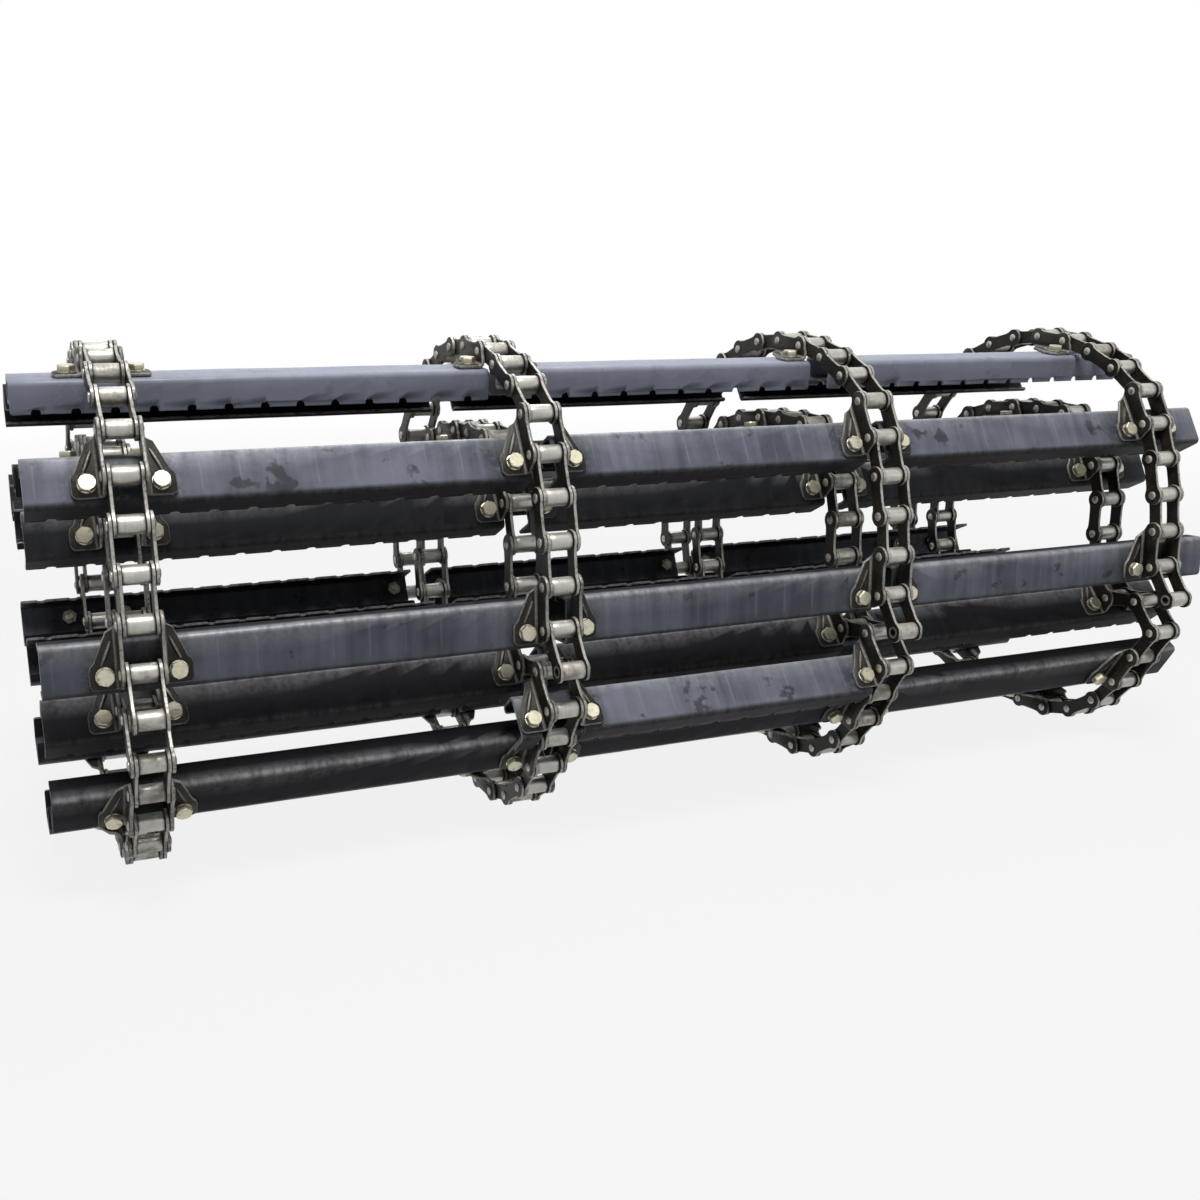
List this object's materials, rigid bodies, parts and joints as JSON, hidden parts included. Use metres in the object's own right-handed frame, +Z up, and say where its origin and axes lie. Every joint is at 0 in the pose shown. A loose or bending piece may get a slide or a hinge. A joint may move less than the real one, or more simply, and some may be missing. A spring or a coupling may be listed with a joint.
{
  "type": "slatted conveyor chain",
  "caption": "Elevator conveyor chain: parallel roller chain strands joined by folded, notched steel slats on bent lugs, coiled as a loose roll with its outer end free.",
  "frame": {"origin": "centre of the bounding box, at the ground under the roll", "axes": "+X along the slats, +Y from the front with the free end to the back, +Z up"},
  "size_m": [1.2144, 0.4612, 0.4492],
  "materials": {
    "roller_steel": "worn bright",
    "slat_paint": "semi-gloss",
    "lug_steel": "oiled",
    "plate_steel": "oiled"
  },
  "bodies": {
    "roll": {"roll_carrier_links": "plate_steel", "roll_inner_plates_1": "plate_steel", "roll_inner_plates_2": "plate_steel", "roll_inner_plates_3": "plate_steel", "roll_inner_plates_4": "plate_steel", "roll_lug_plates_1": "lug_steel", "roll_lug_plates_2": "lug_steel", "roll_lug_plates_3": "lug_steel", "roll_lug_plates_4": "lug_steel", "roll_outer_plates_1": "plate_steel", "roll_outer_plates_2": "plate_steel", "roll_outer_plates_3": "plate_steel", "roll_outer_plates_4": "plate_steel", "roll_rollers_1": "roller_steel", "roll_rollers_2": "roller_steel", "roll_rollers_3": "roller_steel", "roll_rollers_4": "roller_steel", "roll_slats_left": "slat_paint", "roll_slats_middle": "slat_paint", "roll_slats_right": "slat_paint"},
    "link_1": {"flap_inner_links_1": "plate_steel"},
    "link_2": {"flap_lug_links_2": "lug_steel", "flap_slat_left_2": "slat_paint", "flap_slat_middle_2": "slat_paint", "flap_slat_right_2": "slat_paint"},
    "link_3": {"flap_inner_links_3": "plate_steel"},
    "link_4": {"flap_outer_links_4": "plate_steel"},
    "link_5": {"flap_inner_links_5": "plate_steel"},
    "link_6": {"flap_lug_links_6": "lug_steel", "flap_slat_left_6": "slat_paint", "flap_slat_middle_6": "slat_paint", "flap_slat_right_6": "slat_paint"},
    "link_7": {"flap_inner_links_7": "plate_steel"},
    "rollers_0": {"flap_rollers_0": "roller_steel"},
    "rollers_1": {"flap_rollers_1": "roller_steel"},
    "rollers_2": {"flap_rollers_2": "roller_steel"},
    "rollers_3": {"flap_rollers_3": "roller_steel"},
    "rollers_4": {"flap_rollers_4": "roller_steel"},
    "rollers_5": {"flap_rollers_5": "roller_steel"},
    "rollers_6": {"flap_rollers_6": "roller_steel"},
    "rollers_7": {"flap_rollers_7": "roller_steel"}
  },
  "joints": [
    {"name": "chain_joint_7", "type": "hinge", "parent": "roll", "child": "link_7", "pos_m": [0, -0.11722, 0.40903], "axis": [-1, 0, 0], "range_deg": [0, 25]},
    {"name": "chain_joint_6", "type": "hinge", "parent": "link_7", "child": "link_6", "pos_m": [0, -0.14829, 0.38646], "axis": [-1, 0, 0], "range_deg": [0, 25]},
    {"name": "chain_joint_5", "type": "hinge", "parent": "link_6", "child": "link_5", "pos_m": [0, -0.16749, 0.3532], "axis": [-1, 0, 0], "range_deg": [0, 25]},
    {"name": "chain_joint_4", "type": "hinge", "parent": "link_5", "child": "link_4", "pos_m": [0, -0.18125, 0.31735], "axis": [-1, 0, 0], "range_deg": [0, 25]},
    {"name": "chain_joint_3", "type": "hinge", "parent": "link_4", "child": "link_3", "pos_m": [0, -0.19119, 0.28026], "axis": [-1, 0, 0], "range_deg": [0, 25]},
    {"name": "chain_joint_2", "type": "hinge", "parent": "link_3", "child": "link_2", "pos_m": [0, -0.19719, 0.24233], "axis": [-1, 0, 0], "range_deg": [0, 12]},
    {"name": "chain_joint_1", "type": "hinge", "parent": "link_2", "child": "link_1", "pos_m": [0, -0.1992, 0.20398], "axis": [-1, 0, 0], "range_deg": [0, 25]},
    {"name": "roller_spin_0", "type": "hinge", "parent": "link_1", "child": "rollers_0", "pos_m": [0, -0.22123, 0.17253], "axis": [1, 0, 0], "continuous": true},
    {"name": "roller_spin_1", "type": "hinge", "parent": "link_1", "child": "rollers_1", "pos_m": [0, -0.1992, 0.20398], "axis": [1, 0, 0], "continuous": true},
    {"name": "roller_spin_2", "type": "hinge", "parent": "link_3", "child": "rollers_2", "pos_m": [0, -0.19719, 0.24233], "axis": [1, 0, 0], "continuous": true},
    {"name": "roller_spin_3", "type": "hinge", "parent": "link_3", "child": "rollers_3", "pos_m": [0, -0.19119, 0.28026], "axis": [1, 0, 0], "continuous": true},
    {"name": "roller_spin_4", "type": "hinge", "parent": "link_5", "child": "rollers_4", "pos_m": [0, -0.18125, 0.31735], "axis": [1, 0, 0], "continuous": true},
    {"name": "roller_spin_5", "type": "hinge", "parent": "link_5", "child": "rollers_5", "pos_m": [0, -0.16749, 0.3532], "axis": [1, 0, 0], "continuous": true},
    {"name": "roller_spin_6", "type": "hinge", "parent": "link_7", "child": "rollers_6", "pos_m": [0, -0.14829, 0.38646], "axis": [1, 0, 0], "continuous": true},
    {"name": "roller_spin_7", "type": "hinge", "parent": "link_7", "child": "rollers_7", "pos_m": [0, -0.11722, 0.40903], "axis": [1, 0, 0], "continuous": true}
  ]
}
